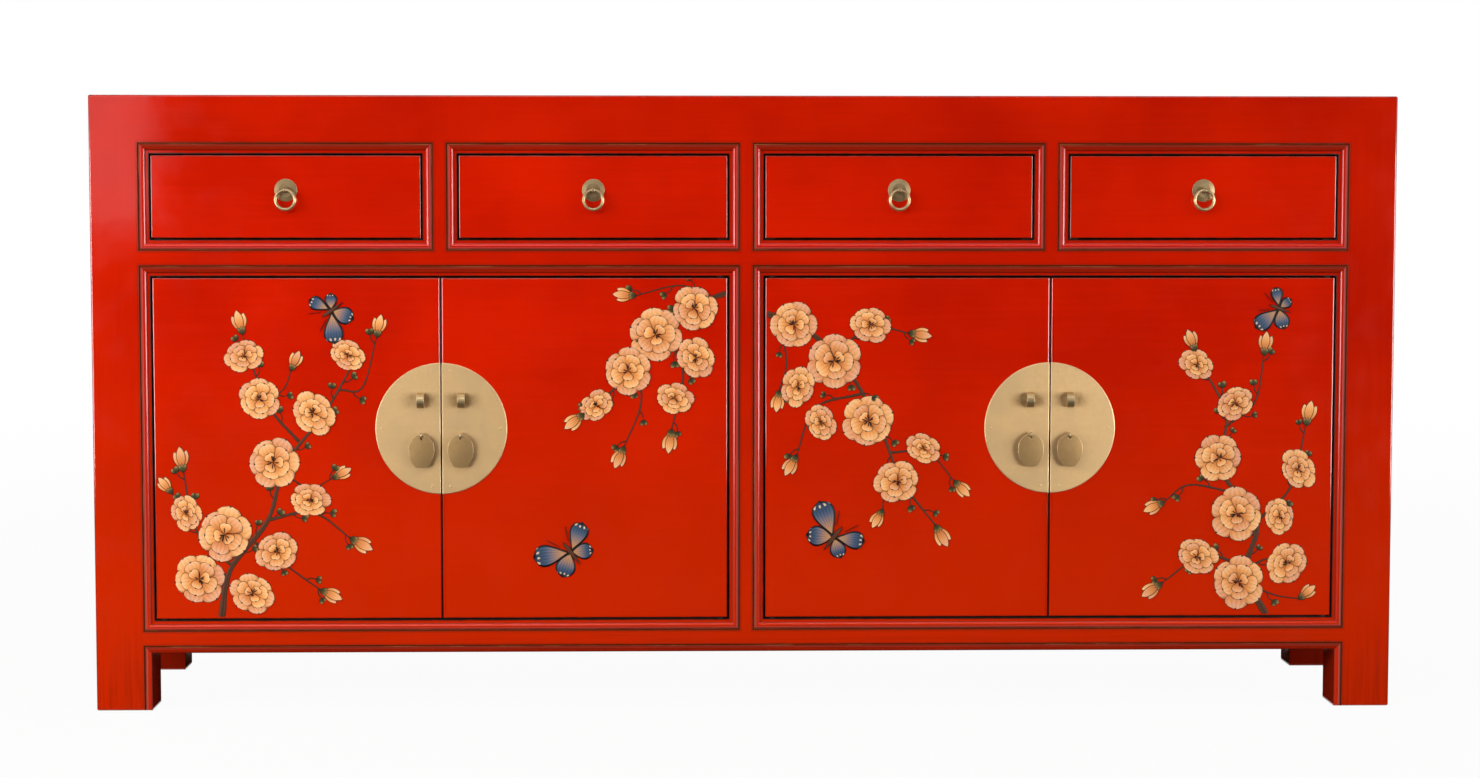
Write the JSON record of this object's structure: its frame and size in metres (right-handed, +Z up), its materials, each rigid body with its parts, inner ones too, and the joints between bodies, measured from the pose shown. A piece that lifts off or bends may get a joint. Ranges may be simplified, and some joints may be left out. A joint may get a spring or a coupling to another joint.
{
  "type": "sideboard",
  "caption": "Long low lacquered sideboard: a row of drawers over paired pivot doors, in a flush frame with beaded mouldings, split round brass lock plates, drop pulls and ring pulls.",
  "frame": {"origin": "on the floor under the middle of the carcase", "axes": "+X along the front to the viewer's right, +Y from the front to the back, +Z up"},
  "size_m": [1.8, 0.4101, 0.85],
  "materials": {
    "red_lacquer": "glossy red lacquer, rubbed dark along edges and grooves",
    "inside_wood": "dark stained softwood, satin",
    "drawer_wood": "plain pale softwood, waxed",
    "brass": "satin brushed brass",
    "aged_brass": "handled brass"
  },
  "bodies": {
    "carcase": {"front_left_leg": "red_lacquer", "front_right_leg": "red_lacquer", "rear_left_leg": "red_lacquer", "rear_right_leg": "red_lacquer", "top_front_rail": "red_lacquer", "top_rear_rail": "red_lacquer", "top_end_rails": "red_lacquer", "top_panel": "red_lacquer", "drawer_rail": "red_lacquer", "bottom_front_rail": "red_lacquer", "drawer_dividers": "red_lacquer", "door_mullion": "red_lacquer", "bottom_end_rails": "red_lacquer", "side_panels": "red_lacquer", "rear_bottom_rail": "inside_wood", "rear_runner_rail": "inside_wood", "back_panels": "inside_wood", "floor_board": "inside_wood", "top_battens": "inside_wood", "drawer_runners": "inside_wood", "drawer_guides": "inside_wood", "centre_partition": "inside_wood", "shelves": "inside_wood", "shelf_cleats": "inside_wood"},
    "drawer_1": {"drawer_1_front": "red_lacquer", "drawer_1_box": "drawer_wood", "drawer_1_ring_mount": "brass"},
    "ring_1": {"drawer_1_ring": "brass"},
    "drawer_2": {"drawer_2_front": "red_lacquer", "drawer_2_box": "drawer_wood", "drawer_2_ring_mount": "brass"},
    "ring_2": {"drawer_2_ring": "brass"},
    "drawer_3": {"drawer_3_front": "red_lacquer", "drawer_3_box": "drawer_wood", "drawer_3_ring_mount": "brass"},
    "ring_3": {"drawer_3_ring": "brass"},
    "drawer_4": {"drawer_4_front": "red_lacquer", "drawer_4_box": "drawer_wood", "drawer_4_ring_mount": "brass"},
    "ring_4": {"drawer_4_ring": "brass"},
    "door_1": {"door_1_leaf": "red_lacquer", "door_1_battens": "inside_wood", "door_1_lock_plate": "brass", "door_1_staples": "brass"},
    "pull_1": {"door_1_pull": "aged_brass"},
    "door_2": {"door_2_leaf": "red_lacquer", "door_2_battens": "inside_wood", "door_2_lock_plate": "brass", "door_2_staples": "brass"},
    "pull_2": {"door_2_pull": "aged_brass"},
    "door_3": {"door_3_leaf": "red_lacquer", "door_3_battens": "inside_wood", "door_3_lock_plate": "brass", "door_3_staples": "brass"},
    "pull_3": {"door_3_pull": "aged_brass"},
    "door_4": {"door_4_leaf": "red_lacquer", "door_4_battens": "inside_wood", "door_4_lock_plate": "brass", "door_4_staples": "brass"},
    "pull_4": {"door_4_pull": "aged_brass"}
  },
  "joints": [
    {"name": "drawer_1_slide", "type": "slide", "parent": "carcase", "child": "drawer_1", "axis": [0, -1, 0], "range_m": [0, 0.26]},
    {"name": "ring_1_swing", "type": "hinge", "parent": "drawer_1", "child": "ring_1", "pos_m": [-0.63225, -0.2045, 0.72], "axis": [-1, 0, 0], "range_deg": [-8, 165]},
    {"name": "drawer_2_slide", "type": "slide", "parent": "carcase", "child": "drawer_2", "axis": [0, -1, 0], "range_m": [0, 0.26]},
    {"name": "ring_2_swing", "type": "hinge", "parent": "drawer_2", "child": "ring_2", "pos_m": [-0.21075, -0.2045, 0.72], "axis": [-1, 0, 0], "range_deg": [-8, 165]},
    {"name": "drawer_3_slide", "type": "slide", "parent": "carcase", "child": "drawer_3", "axis": [0, -1, 0], "range_m": [0, 0.26]},
    {"name": "ring_3_swing", "type": "hinge", "parent": "drawer_3", "child": "ring_3", "pos_m": [0.21075, -0.2045, 0.72], "axis": [-1, 0, 0], "range_deg": [-8, 165]},
    {"name": "drawer_4_slide", "type": "slide", "parent": "carcase", "child": "drawer_4", "axis": [0, -1, 0], "range_m": [0, 0.26]},
    {"name": "ring_4_swing", "type": "hinge", "parent": "drawer_4", "child": "ring_4", "pos_m": [0.63225, -0.2045, 0.72], "axis": [-1, 0, 0], "range_deg": [-8, 165]},
    {"name": "door_1_swing", "type": "hinge", "parent": "carcase", "child": "door_1", "pos_m": [-0.807, -0.189, 0.125], "axis": [0, 0, -1], "range_deg": [0, 105]},
    {"name": "pull_1_swing", "type": "hinge", "parent": "door_1", "child": "pull_1", "pos_m": [-0.4485, -0.2051, 0.382], "axis": [-1, 0, 0], "range_deg": [-6, 120]},
    {"name": "door_2_swing", "type": "hinge", "parent": "carcase", "child": "door_2", "pos_m": [-0.036, -0.189, 0.125], "axis": [0, 0, 1], "range_deg": [0, 85]},
    {"name": "pull_2_swing", "type": "hinge", "parent": "door_2", "child": "pull_2", "pos_m": [-0.3945, -0.2051, 0.382], "axis": [-1, 0, 0], "range_deg": [-6, 120]},
    {"name": "door_3_swing", "type": "hinge", "parent": "carcase", "child": "door_3", "pos_m": [0.036, -0.189, 0.125], "axis": [0, 0, -1], "range_deg": [0, 85]},
    {"name": "pull_3_swing", "type": "hinge", "parent": "door_3", "child": "pull_3", "pos_m": [0.3945, -0.2051, 0.382], "axis": [-1, 0, 0], "range_deg": [-6, 120]},
    {"name": "door_4_swing", "type": "hinge", "parent": "carcase", "child": "door_4", "pos_m": [0.807, -0.189, 0.125], "axis": [0, 0, 1], "range_deg": [0, 105]},
    {"name": "pull_4_swing", "type": "hinge", "parent": "door_4", "child": "pull_4", "pos_m": [0.4485, -0.2051, 0.382], "axis": [-1, 0, 0], "range_deg": [-6, 120]}
  ]
}
